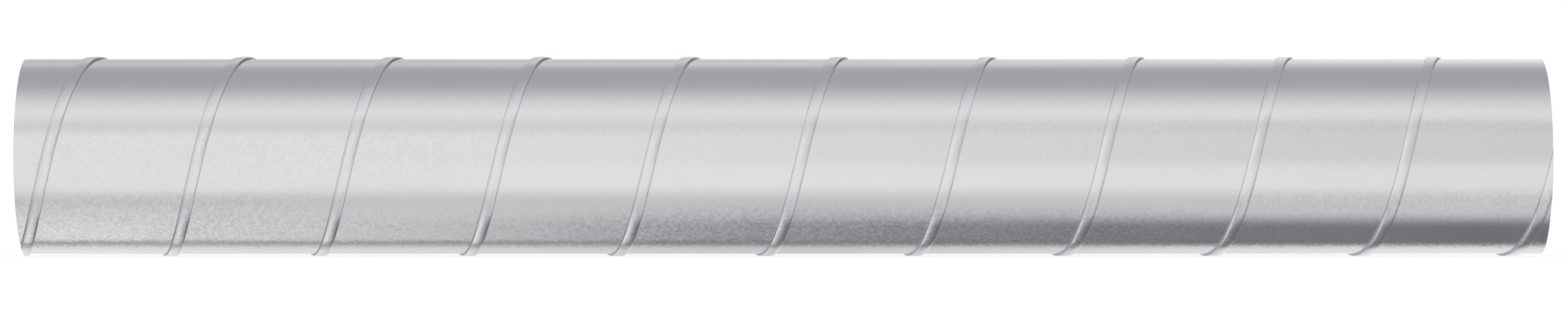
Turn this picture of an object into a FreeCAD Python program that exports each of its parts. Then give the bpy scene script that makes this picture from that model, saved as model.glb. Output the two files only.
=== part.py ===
import FreeCAD, Part
import math
import os

# A round spiral duct: one galvanised strip wound into a left-hand helix, its edges hooked into each
# other and rolled flat as a lock seam that stands proud of the outside. Both ends are sawn square.
# It lies along X with its middle at the origin of X and its lowest seam crests on Z = 0.

# Driving dimensions, in millimetres and degrees.
INSIDE_DIAMETER = 160.0
SHEET = 0.5
LENGTH = 1250.0

# Distance along the duct from one turn of the seam to the next.
SEAM_PITCH = 122.65
# Width of the seam along the duct, from the foot of its ramp to the nose of its fold.
SEAM_WIDTH = 10.0
# Where the foot of the ramp crosses the side that faces -Y, measured from mid length.
SEAM_FROM_MID = 10.3

# Plies that lie on top of the wall in the seam, and the slack left over each when it is rolled flat.
PLIES_ON_WALL = 3
PLY_SLACK = 0.08
# The rolled top is a little higher along its middle than along its edges.
CROWN = 0.21
# Steep ramp where the strip climbs over its neighbour's hooked edge.
RAMP_ANGLE = 80.0
# Bends of the sheet, each drawn as one flat across the real radius, as the crown is as two.
SHOULDER_BEND = 0.45
NOSE_BEND = 0.4
# The crevice below the nose of the fold: how high its mouth is, and how far it runs in.
CREVICE_MOUTH = 0.15
CREVICE_DEPTH = 1.3
# Inside, the two bends leave a groove between them at the foot of the ramp.
GROOVE_WIDTH = 1.3
GROOVE_RISE = 0.2

# Derived sizes.
inner_radius = INSIDE_DIAMETER / 2
outer_radius = inner_radius + SHEET
edge_height = PLIES_ON_WALL * (SHEET + PLY_SLACK)
crest_height = edge_height + CROWN
crest_radius = outer_radius + crest_height
ramp_slope = math.tan(math.radians(RAMP_ANGLE))
# The seam is rooted in the wall by half the sheet, so that wall and seam are one piece.
root = SHEET / 2
# The seam's helix starts at the top, three quarters of a turn before the side that faces -Y.
START_TURN = 0.75
START_ANGLE = 180.0


def section_point(along, height):
    """A point of the seam's section: along the duct from the ramp's foot, and over the wall's outside."""
    return FreeCAD.Vector(outer_radius + height, 0, along)


def seam_section():
    """The flattened seam: ramp, shoulder, crowned top, nose of the fold, and the crevice below it."""
    shoulder_height = edge_height - SHOULDER_BEND
    shoulder_start = shoulder_height / ramp_slope
    top_start = shoulder_start + SHOULDER_BEND
    top_end = SEAM_WIDTH - NOSE_BEND
    ramp_root = section_point(-root / ramp_slope, -root)
    return Part.makePolygon([
        ramp_root,
        section_point(shoulder_start, shoulder_height),
        section_point(top_start, edge_height),
        section_point((top_start + top_end) / 2, crest_height),
        section_point(top_end, edge_height),
        section_point(SEAM_WIDTH, edge_height - NOSE_BEND),
        section_point(SEAM_WIDTH, CREVICE_MOUTH + NOSE_BEND),
        section_point(top_end, CREVICE_MOUTH),
        section_point(SEAM_WIDTH - CREVICE_DEPTH, -root),
        ramp_root,
    ])


def groove_section():
    """The groove on the inside: one side follows the ramp's underside, the other the hooked edge."""
    mouth = SHEET * math.tan(math.radians(RAMP_ANGLE) / 2)
    depth = SHEET + GROOVE_RISE
    far_slope = depth / (GROOVE_WIDTH - depth / ramp_slope)
    over = SHEET
    return Part.makePolygon([
        section_point(mouth - over / ramp_slope, -SHEET - over),
        section_point(mouth + depth / ramp_slope, GROOVE_RISE),
        section_point(mouth + GROOVE_WIDTH + over / far_slope, -SHEET - over),
        section_point(mouth - over / ramp_slope, -SHEET - over),
    ])


def wind(section):
    """Sweep a section along the seam's left-hand helix, from before one end of the duct to past the other."""
    turns_before = math.ceil(LENGTH / 2 / SEAM_PITCH) + 1
    path = Part.makeLongHelix(SEAM_PITCH, 2 * turns_before * SEAM_PITCH, outer_radius, 0, True)
    sweep = Part.BRepOffsetAPI.MakePipeShell(Part.Wire(path.Edges))
    sweep.setFrenetMode(True)
    sweep.add(section, False, False)
    sweep.build()
    sweep.makeSolid()
    wound = sweep.shape()
    start = SEAM_FROM_MID - (turns_before + START_TURN) * SEAM_PITCH
    wound.rotate(FreeCAD.Vector(0, 0, 0), FreeCAD.Vector(0, 0, 1), START_ANGLE)
    wound.translate(FreeCAD.Vector(0, 0, start))
    return wound


def rod(radius):
    """A solid round as long as the duct, which also cuts its ends square."""
    return Part.makeCylinder(radius, LENGTH, FreeCAD.Vector(0, 0, -LENGTH / 2))


def spiral_duct():
    """The wound tube with its seam outside and the seam's groove inside, as the one piece that it is."""
    wall = rod(outer_radius).cut(rod(inner_radius))
    seam = wind(seam_section()).common(rod(crest_radius + SHEET))
    duct = wall.fuse(seam).cut(wind(groove_section()))
    # Lay the axis along X, with the duct resting on its seam crests.
    duct.rotate(FreeCAD.Vector(0, 0, 0), FreeCAD.Vector(0, 1, 0), 90)
    duct.translate(FreeCAD.Vector(0, 0, crest_radius))
    return duct.Solids[0]


os.makedirs("parts", exist_ok=True)
spiral_duct().exportStep("parts/spiral_duct.step")
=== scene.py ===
import math

import bmesh
import bpy
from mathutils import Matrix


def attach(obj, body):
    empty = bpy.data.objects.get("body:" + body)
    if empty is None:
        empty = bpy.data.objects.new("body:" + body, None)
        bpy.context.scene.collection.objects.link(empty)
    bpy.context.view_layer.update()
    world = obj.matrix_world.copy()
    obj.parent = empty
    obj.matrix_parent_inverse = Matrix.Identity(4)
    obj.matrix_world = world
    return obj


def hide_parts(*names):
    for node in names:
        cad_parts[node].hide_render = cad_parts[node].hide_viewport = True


# Sizes of the duct are written in millimetres, and Blender takes metres.
MM = 0.001

# The duct, with the same driving sizes as its solid. The seam's place is where the foot of its ramp
# crosses the viewer's side, measured from mid length.
INSIDE_DIAMETER = 160.0
SHEET = 0.5
LENGTH = 1250.0
SEAM_PITCH = 122.65
SEAM_WIDTH = 10.0
SEAM_FROM_MID = 10.3
CREST_HEIGHT = 1.95
PLIES_ON_WALL = 3
PLY_SLACK = 0.08
RAMP_ANGLE = math.radians(80.0)

# The strip's bends, as radii of the middle of the sheet, and how far the rolled top leans at its edges.
FOOT_BEND = 0.35
SHOULDER_BEND = 0.35
NOSE_BEND = 0.33
TOP_LEAN = math.radians(6.1)
# Inside the seam: where the hook starts to turn down, where the tucked edge ends, and the hooked
# edge's gap to the nose, each along the duct.
HOOK_FROM_FOOT = 1.7
TUCK_FROM_FOOT = 1.8
EDGE_GAP = 0.3

# How finely the strip is drawn: sections in a turn, the angle from which an edge is shaded sharp, and
# how far the wall's first marks lie from its bends.
STEPS_PER_TURN = 96
CORNER = math.radians(35.0)
WALL_MARGIN = 0.3

# The photograph's view: the sensor's width and the lens in millimetres, and the camera's distance to
# the axis and place right of mid length in metres.
SENSOR_WIDTH = 36.0
CAMERA_LENS = 132.93
CAMERA_DISTANCE = 4.78
CAMERA_ASIDE = 0.0006

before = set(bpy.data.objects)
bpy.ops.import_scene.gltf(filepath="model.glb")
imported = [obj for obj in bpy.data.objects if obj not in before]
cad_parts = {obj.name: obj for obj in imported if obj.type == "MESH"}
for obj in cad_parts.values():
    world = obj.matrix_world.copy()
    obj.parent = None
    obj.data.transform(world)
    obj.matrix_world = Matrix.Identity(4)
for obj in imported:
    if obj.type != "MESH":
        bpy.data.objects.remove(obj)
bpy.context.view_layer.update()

middle_radius = (INSIDE_DIAMETER + SHEET) / 2
outer_radius = INSIDE_DIAMETER / 2 + SHEET
axis_height = outer_radius + CREST_HEIGHT


class Pen:
    """Draws the middle line of the sheet's section, whose straight and round stretches follow on smoothly."""

    def __init__(self, along, height, heading):
        self.along = along
        self.height = height
        self.heading = heading
        self.marks = []
        self.mark()

    def mark(self):
        self.marks.append((self.along, self.height, self.heading))

    def straight(self, length, marks=1):
        for _ in range(marks):
            self.along += length / marks * math.cos(self.heading)
            self.height += length / marks * math.sin(self.heading)
            self.mark()

    def bend(self, radius, turn, marks):
        """Turn left by an angle, or right if it is negative, round an arc."""
        side = math.copysign(1.0, turn)
        centre_along = self.along - side * radius * math.sin(self.heading)
        centre_height = self.height + side * radius * math.cos(self.heading)
        for _ in range(marks):
            self.heading += turn / marks
            self.along = centre_along + side * radius * math.sin(self.heading)
            self.height = centre_height - side * radius * math.cos(self.heading)
            self.mark()


def strip_section():
    """The sheet's middle line across one turn, from its hooked edge to the edge tucked into the next hook."""
    ply = SHEET + PLY_SLACK
    foot_start = -(FOOT_BEND - SHEET / 2) * math.tan(RAMP_ANGLE / 2)
    foot_rise = FOOT_BEND * (1 - math.cos(RAMP_ANGLE))
    shoulder_rise = SHOULDER_BEND * (math.cos(TOP_LEAN) - math.cos(RAMP_ANGLE))
    shoulder_run = SHOULDER_BEND * (math.sin(RAMP_ANGLE) - math.sin(TOP_LEAN))
    ramp_length = (PLIES_ON_WALL * ply - foot_rise - shoulder_rise) / math.sin(RAMP_ANGLE)
    ramp_run = ramp_length * math.cos(RAMP_ANGLE)
    top_start = foot_start + FOOT_BEND * math.sin(RAMP_ANGLE) + ramp_run + shoulder_run
    top_end = SEAM_WIDTH - SHEET / 2 - NOSE_BEND * (1 - math.sin(TOP_LEAN))
    # The plies of the rolled seam are curved about one centre below it.
    centre = (top_start + top_end) / 2
    top_bend = (top_end - top_start) / 2 / math.sin(TOP_LEAN)
    hook_bend = top_bend - ply
    tuck_bend = top_bend - 2 * ply
    edge_lean = math.asin((SEAM_WIDTH - SHEET - EDGE_GAP - centre) / hook_bend)
    hook_lean = math.asin((centre - HOOK_FROM_FOOT) / hook_bend)
    tuck_lean = math.asin((centre - TUCK_FROM_FOOT) / tuck_bend)
    centre_height = PLIES_ON_WALL * ply - top_bend * math.cos(TOP_LEAN)
    pen = Pen(
        centre + hook_bend * math.sin(edge_lean),
        centre_height + hook_bend * math.cos(edge_lean),
        math.pi - edge_lean,
    )
    # The hooked ply, back towards the foot, and its turn down on to the wall.
    pen.bend(hook_bend, edge_lean + hook_lean, marks=3)
    pen.bend(pen.height / (1 + math.cos(hook_lean)), math.pi - hook_lean, marks=5)
    # The wall, with marks close to its bends so that it shades flat between them.
    wall = SEAM_PITCH + foot_start - pen.along
    pen.straight(WALL_MARGIN)
    pen.straight(wall - 2 * WALL_MARGIN, marks=5)
    pen.straight(WALL_MARGIN)
    # The next seam: foot, ramp, shoulder, rolled top, nose, and the ply tucked in below it.
    pen.bend(FOOT_BEND, RAMP_ANGLE, marks=4)
    pen.straight(ramp_length)
    pen.bend(SHOULDER_BEND, TOP_LEAN - RAMP_ANGLE, marks=5)
    pen.bend(top_bend, -2 * TOP_LEAN, marks=6)
    pen.bend(NOSE_BEND, -math.pi / 2, marks=4)
    pen.straight(2 * ply - 2 * NOSE_BEND)
    pen.bend(NOSE_BEND, -math.pi / 2, marks=3)
    pen.bend(tuck_bend, TOP_LEAN + tuck_lean, marks=2)
    return pen.marks


def skins(marks):
    """The section's closed outline: the sheet's faces, half its thickness each side of the middle line."""
    half = SHEET / 2
    left = [(a - half * math.sin(t), h + half * math.cos(t)) for a, h, t in marks]
    right = [(a + half * math.sin(t), h - half * math.cos(t)) for a, h, t in marks]
    return left + right[::-1]


def wound(along, height, turn):
    """Where a point of the section lies, in metres, when it has been wound round by a number of turns."""
    climb = 2 * math.pi * turn
    radius = middle_radius + height
    return (
        (SEAM_FROM_MID + along + turn * SEAM_PITCH) * MM,
        -radius * math.cos(climb) * MM,
        (axis_height + radius * math.sin(climb)) * MM,
    )


def wound_strip():
    """The whole duct as the one strip that it is wound from, cut square at both ends."""
    outline = skins(strip_section())
    widest = max(along for along, _ in outline)
    narrowest = min(along for along, _ in outline)
    # One section to spare past each end, for the saw.
    first = math.floor((-LENGTH / 2 - SEAM_FROM_MID - widest) / SEAM_PITCH * STEPS_PER_TURN) - 1
    last = math.ceil((LENGTH / 2 - SEAM_FROM_MID - narrowest) / SEAM_PITCH * STEPS_PER_TURN) + 1
    points = []
    for step in range(first, last + 1):
        points += [wound(along, height, step / STEPS_PER_TURN) for along, height in outline]
    count = len(outline)
    faces = []
    for base in range(0, (last - first) * count, count):
        for i in range(count):
            j = (i + 1) % count
            faces.append((base + i, base + j, base + count + j, base + count + i))
    mesh = bpy.data.meshes.new("duct_strip")
    mesh.from_pydata(points, [], faces)
    cut_square(mesh)
    mesh.set_sharp_from_angle(angle=CORNER)
    duct = bpy.data.objects.new("duct_strip", mesh)
    bpy.context.scene.collection.objects.link(duct)
    return duct


def cut_square(mesh):
    """Saw the strip off at both ends of the duct and close the cut edges of the sheet."""
    work = bmesh.new()
    work.from_mesh(mesh)
    for side in (-1, 1):
        cut = bmesh.ops.bisect_plane(
            work,
            geom=work.verts[:] + work.edges[:] + work.faces[:],
            plane_co=(side * LENGTH / 2 * MM, 0, 0),
            plane_no=(side, 0, 0),
            clear_outer=True,
        )
        rim = [e for e in cut["geom_cut"] if isinstance(e, bmesh.types.BMEdge)]
        bmesh.ops.holes_fill(work, edges=rim, sides=0)
    bmesh.ops.recalc_face_normals(work, faces=work.faces[:])
    for face in work.faces:
        face.smooth = True
    work.to_mesh(mesh)
    work.free()


class Nodes:
    """Short names for building a node tree."""

    def __init__(self, tree):
        self.tree = tree
        self.tree.nodes.clear()

    def add(self, kind, inputs=None, **settings):
        node = self.tree.nodes.new(kind)
        for name, value in settings.items():
            setattr(node, name, value)
        for name, value in (inputs or {}).items():
            socket = node.inputs[name]
            if isinstance(value, bpy.types.NodeSocket):
                self.tree.links.new(value, socket)
            else:
                socket.default_value = value
        return node

    def math(self, operation, *values):
        return self.add("ShaderNodeMath", dict(enumerate(values)), operation=operation).outputs[0]

    def vector(self, operation, *values):
        return self.add("ShaderNodeVectorMath", dict(enumerate(values)), operation=operation).outputs[0]

    def smooth(self, value, low, high, to_low=0.0, to_high=1.0):
        """Ease a value from to_low to to_high while it goes from low to high."""
        inputs = {"Value": value, "From Min": low, "From Max": high, "To Min": to_low, "To Max": to_high}
        return self.add("ShaderNodeMapRange", inputs, interpolation_type="SMOOTHSTEP").outputs[0]

    def blend(self, share, low, high):
        """From one number to another. A share below 0 counts as 0, and one above 1 as 1."""
        return self.add("ShaderNodeMix", {0: share, 2: low, 3: high}, data_type="FLOAT").outputs[0]

    def blend_colours(self, share, low, high):
        return self.add("ShaderNodeMix", {0: share, 6: low, 7: high}, data_type="RGBA").outputs[2]


# The zinc's spangle. Its flakes have torn outlines, from a noise that is bent by itself.
FLAKE_NOISE = {"Scale": 330.0, "Detail": 2.0, "Roughness": 0.5, "Distortion": 1.0}
# How far the flakes lean at and above the first height, and at and below the second. The heights
# are in metres.
LEAN_HEIGHTS = (0.018, 0.010)
LEANS = (0.055, 0.125)
# Patches where some flakes are duller than others. The dull flakes are painted reflection: the zinc's
# spangle is even all round, and they stand in for the flecks that reflected edges of the studio show
# there. Each has where it starts and ends along the duct, its bottom and top, in metres, and its
# strength. Each edge fades over twice the width below the list.
PATCHES = (
    (-0.90, -0.38, 0.009, 0.051, 1.0),
    (-0.90, -0.25, 0.058, 0.104, 0.4),
    (-0.90, 0.90, 0.101, 0.110, 0.3),
    (-0.12, 0.36, 0.009, 0.042, 1.0),
    (0.34, 0.90, 0.035, 0.053, 0.9),
)
PATCH_FADE_ALONG = 0.10
PATCH_FADE_UP = 0.005
# In a patch, the range of the flakes' noise over which they go from bright to dull, and both colours.
DULL_FLAKES = (0.38, 0.62)
BRIGHT_ZINC = (0.731, 0.743, 0.753, 1.0)
DULL_ZINC = (0.650, 0.661, 0.672, 1.0)
# Soft clouds of slightly rougher metal: their noise, its range, and the roughness at the range's ends.
CLOUD_NOISE = {"Scale": 14.0, "Detail": 2.0}
CLOUD_RANGE = (0.3, 0.7)
CLOUD_ROUGHNESS = (0.14, 0.18)
# The bore is duller, so that light from its mouths reaches into it.
BORE_METALLIC = 0.6
BORE_ROUGHNESS = 0.3


def painted_fleck_patches(n, split):
    """How strongly flakes are painted dull at a place, as painted reflection contrast: 0 outside the patches.
    """
    fleck_share = 0.0
    for start, end, bottom, top, strength in PATCHES:
        along = n.math(
            "MULTIPLY",
            n.smooth(split["X"], start - PATCH_FADE_ALONG, start + PATCH_FADE_ALONG),
            n.smooth(split["X"], end + PATCH_FADE_ALONG, end - PATCH_FADE_ALONG),
        )
        upward = n.math(
            "MULTIPLY",
            n.smooth(split["Z"], bottom - PATCH_FADE_UP, bottom + PATCH_FADE_UP),
            n.smooth(split["Z"], top + PATCH_FADE_UP, top - PATCH_FADE_UP),
        )
        patch = n.math("MULTIPLY", n.math("MULTIPLY", along, upward), strength)
        fleck_share = n.math("MAXIMUM", patch, fleck_share)
    return fleck_share


def leaning(n, split, flake_colour):
    """The surface's direction when each flake leans its own way, most of all low down."""
    lean = n.vector("SUBTRACT", flake_colour, (0.5, 0.5, 0.5))
    most = n.smooth(split["Z"], *LEAN_HEIGHTS, *LEANS)
    lean = n.add("ShaderNodeVectorMath", {0: lean, 3: most}, operation="SCALE").outputs[0]
    return n.vector("NORMALIZE", n.vector("ADD", n.add("ShaderNodeNewGeometry").outputs["Normal"], lean))


def in_bore(n, split):
    """1 on the inside of the duct and 0 on its outside. It changes within the thickness of the wall."""
    over_axis = n.math("SUBTRACT", split["Z"], axis_height * MM)
    across = n.add("ShaderNodeCombineXYZ", {1: split["Y"], 2: over_axis}).outputs[0]
    radius = n.add("ShaderNodeVectorMath", {0: across}, operation="LENGTH").outputs["Value"]
    return n.smooth(radius, middle_radius * MM, (middle_radius - SHEET / 4) * MM)


def galvanised_steel():
    """Bright zinc whose fine ragged spangle makes each flake face a little another way."""
    material = bpy.data.materials.new("galvanised_steel")
    material.use_nodes = True
    n = Nodes(material.node_tree)
    place = n.add("ShaderNodeTexCoord").outputs["Object"]
    split = n.add("ShaderNodeSeparateXYZ", {0: place}).outputs
    flake = n.add("ShaderNodeTexNoise", {"Vector": place, **FLAKE_NOISE}).outputs
    cloud = n.add("ShaderNodeTexNoise", {"Vector": place, **CLOUD_NOISE}).outputs
    # Flakes painted dull inside the patches: painted reflection contrast on the zinc's own spangle.
    dull = n.math("MULTIPLY", n.smooth(flake["Fac"], *DULL_FLAKES), painted_fleck_patches(n, split))
    rough = n.smooth(cloud["Fac"], *CLOUD_RANGE, *CLOUD_ROUGHNESS)
    inside = in_bore(n, split)
    shader = n.add("ShaderNodeBsdfPrincipled", {
        "Base Color": n.blend_colours(dull, BRIGHT_ZINC, DULL_ZINC),
        "Metallic": n.blend(inside, 1.0, BORE_METALLIC),
        "Roughness": n.blend(inside, rough, BORE_ROUGHNESS),
        "Normal": leaning(n, split, flake["Color"]),
    })
    n.add("ShaderNodeOutputMaterial", {"Surface": shader.outputs[0]})
    return material


# The studio that the metal mirrors, far from the duct. Its papers and gaps run along the duct. Each
# has the angle at which it starts, in degrees up from the viewer's side, and the width of its edge
# there, and goes on up or down round the duct to where the next one starts. Then come its levels of
# light: towards the duct's left end, straight across, towards its right end, past the left end and
# past the right end. The front has levels only, because the others start from it.
FRONT = (1.02, 1.02, 0.97, 0.74, 0.67)
GOING_UP = (
    ("shaded front", -9.0, 18.0, 1.04, 0.94, 0.79, 0.72, 0.62),
    ("slot", 28.0, 12.0, 0.84, 0.88, 0.77, 0.70, 0.59),
    ("high front", 45.0, 14.0, 0.98, 0.98, 0.96, 0.86, 0.86),
    ("overhead", 74.0, 52.0, 0.50, 0.50, 0.50, 0.48, 0.48),
    ("behind", 133.0, 25.0, 0.69, 0.79, 0.76, 0.35, 0.35),
    ("far behind", 147.0, 6.0, 0.62, 0.67, 0.92, 0.35, 0.35),
    ("backdrop", 162.0, 12.0, 0.72, 0.79, 0.97, 0.35, 0.35),
)
GOING_DOWN = (
    ("low front", -43.5, 21.0, 0.79, 0.69, 0.81, 0.50, 0.50),
    ("floor side", -62.0, 12.0, 0.89, 0.635, 0.81, 0.50, 0.50),
    ("below", -79.3, 26.0, 1.04, 0.36, 0.21, 0.25, 0.25),
    ("low gap", -119.0, 7.0, 0.50, 0.275, 0.21, 0.25, 0.25),
    ("low behind", -131.5, 19.0, 0.96, 0.70, 0.98, 0.50, 0.50),
    ("low backdrop", -162.0, 14.0, 0.92, 0.75, 1.0, 0.50, 0.50),
)
# Angles to the side, in degrees from straight across: where the left and right levels are reached,
# where the papers end, where the side walls show them again by a share, and half the width over
# which the level past the left end gives way to the one past the right end.
SIDE_ANGLE = 9.5
PAPER_END = (8.0, 24.0)
SIDE_WALL = (34.0, 52.0)
SIDE_WALL_SHARE = 0.5
PAST_END_TURN = 1.0
# The papers go from faintly blue at the first angle to faintly warm, on the floor, at the second. The
# gaps are bluer, and light has their tint up to the first level and the papers' from the second.
PAPER_ANGLES = (-25.0, -140.0)
UPPER_PAPER = (0.990, 0.995, 1.0, 1.0)
FLOOR_PAPER = (1.0, 0.994, 0.982, 1.0)
GAP_LEVELS = (0.2, 0.85)
GAP_TINT = (0.915, 0.935, 1.0, 1.0)
WHITE = (1.0, 1.0, 1.0, 1.0)


def studio_level(n, angle, aside):
    """How much light comes from an angle round the duct and an angle to the side."""
    off_axis = n.math("ABSOLUTE", aside)
    past_ends = n.math(
        "MULTIPLY",
        n.smooth(off_axis, *PAPER_END),
        n.smooth(off_axis, *SIDE_WALL, 1.0, SIDE_WALL_SHARE),
    )
    # 0 at the left level, 1 at the middle one and 2 at the right one.
    across = n.smooth(aside, -SIDE_ANGLE, SIDE_ANGLE, 0.0, 2.0)
    past_middle = n.math("SUBTRACT", across, 1.0)
    right_side = n.smooth(aside, -PAST_END_TURN, PAST_END_TURN)

    def level_across(left, middle, right, past_left, past_right):
        between_ends = n.blend(past_middle, n.blend(across, left, middle), right)
        return n.blend(past_ends, between_ends, n.blend(right_side, past_left, past_right))

    level = level_across(*FRONT)
    for papers, way in ((GOING_UP, 1), (GOING_DOWN, -1)):
        for _, start, soft, *levels in papers:
            share = n.smooth(angle, start - way * soft / 2, start + way * soft / 2)
            level = n.blend(share, level, level_across(*levels))
    return level


def studio_world():
    """White to the viewer, and papers, gaps and a dimmer room round them to the metal."""
    world = bpy.data.worlds.new("studio")
    bpy.context.scene.world = world
    world.use_nodes = True
    n = Nodes(world.node_tree)
    toward = n.add("ShaderNodeTexCoord").outputs["Generated"]
    split = n.add("ShaderNodeSeparateXYZ", {0: toward}).outputs
    angle = n.math("DEGREES", n.math("ARCTAN2", split["Z"], n.math("MULTIPLY", split["Y"], -1.0)))
    aside = n.math("DEGREES", n.math("ARCSINE", split["X"]))
    level = studio_level(n, angle, aside)
    seen = n.add("ShaderNodeLightPath").outputs["Is Camera Ray"]
    paper = n.blend_colours(n.smooth(angle, *PAPER_ANGLES), UPPER_PAPER, FLOOR_PAPER)
    tint = n.blend_colours(n.smooth(level, *GAP_LEVELS), GAP_TINT, paper)
    sky = n.add("ShaderNodeBackground", {
        "Color": n.blend_colours(seen, tint, WHITE),
        "Strength": n.blend(seen, level, 1.0),
    })
    n.add("ShaderNodeOutputWorld", {"Surface": sky.outputs[0]})


# The floor reaches this far each way, in metres. Its grey takes the shadow, and its glow, which only
# the viewer sees, makes it white.
FLOOR_REACH = 60.0
FLOOR_GREY = (0.4, 0.4, 0.4, 1.0)
FLOOR_GLOW = 0.8


def floor():
    """A plain white floor that keeps a faint shadow. Metal mirrors the studio below it instead."""
    work = bmesh.new()
    sides = ((-1, -1), (1, -1), (1, 1), (-1, 1))
    work.faces.new([work.verts.new((x * FLOOR_REACH, y * FLOOR_REACH, 0.0)) for x, y in sides])
    mesh = bpy.data.meshes.new("floor")
    work.to_mesh(mesh)
    work.free()
    ground = bpy.data.objects.new("floor", mesh)
    bpy.context.scene.collection.objects.link(ground)
    material = bpy.data.materials.new("floor")
    material.use_nodes = True
    n = Nodes(material.node_tree)
    matt = n.add("ShaderNodeBsdfDiffuse", {"Color": FLOOR_GREY})
    seen = n.add("ShaderNodeLightPath").outputs["Is Camera Ray"]
    glow = n.add("ShaderNodeEmission", {"Strength": n.math("MULTIPLY", seen, FLOOR_GLOW)})
    both = n.add("ShaderNodeAddShader", {0: matt.outputs[0], 1: glow.outputs[0]})
    n.add("ShaderNodeOutputMaterial", {"Surface": both.outputs[0]})
    ground.data.materials.append(material)
    ground.visible_glossy = False


def camera():
    """Level with the duct's axis and square to it, as the photograph was taken."""
    data = bpy.data.cameras.new("camera")
    data.sensor_width = SENSOR_WIDTH
    data.lens = CAMERA_LENS
    view = bpy.data.objects.new("camera", data)
    view.location = (CAMERA_ASIDE, -CAMERA_DISTANCE, axis_height * MM)
    view.rotation_euler = (math.pi / 2, 0, 0)
    bpy.context.scene.collection.objects.link(view)
    bpy.context.scene.camera = view


camera()
bpy.context.scene.view_settings.view_transform = "Standard"
steel = galvanised_steel()
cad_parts["spiral_duct"].data.materials.clear()
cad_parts["spiral_duct"].data.materials.append(steel)
strip = wound_strip()
strip.data.materials.append(steel)
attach(strip, "root")
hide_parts("spiral_duct")
floor()
studio_world()
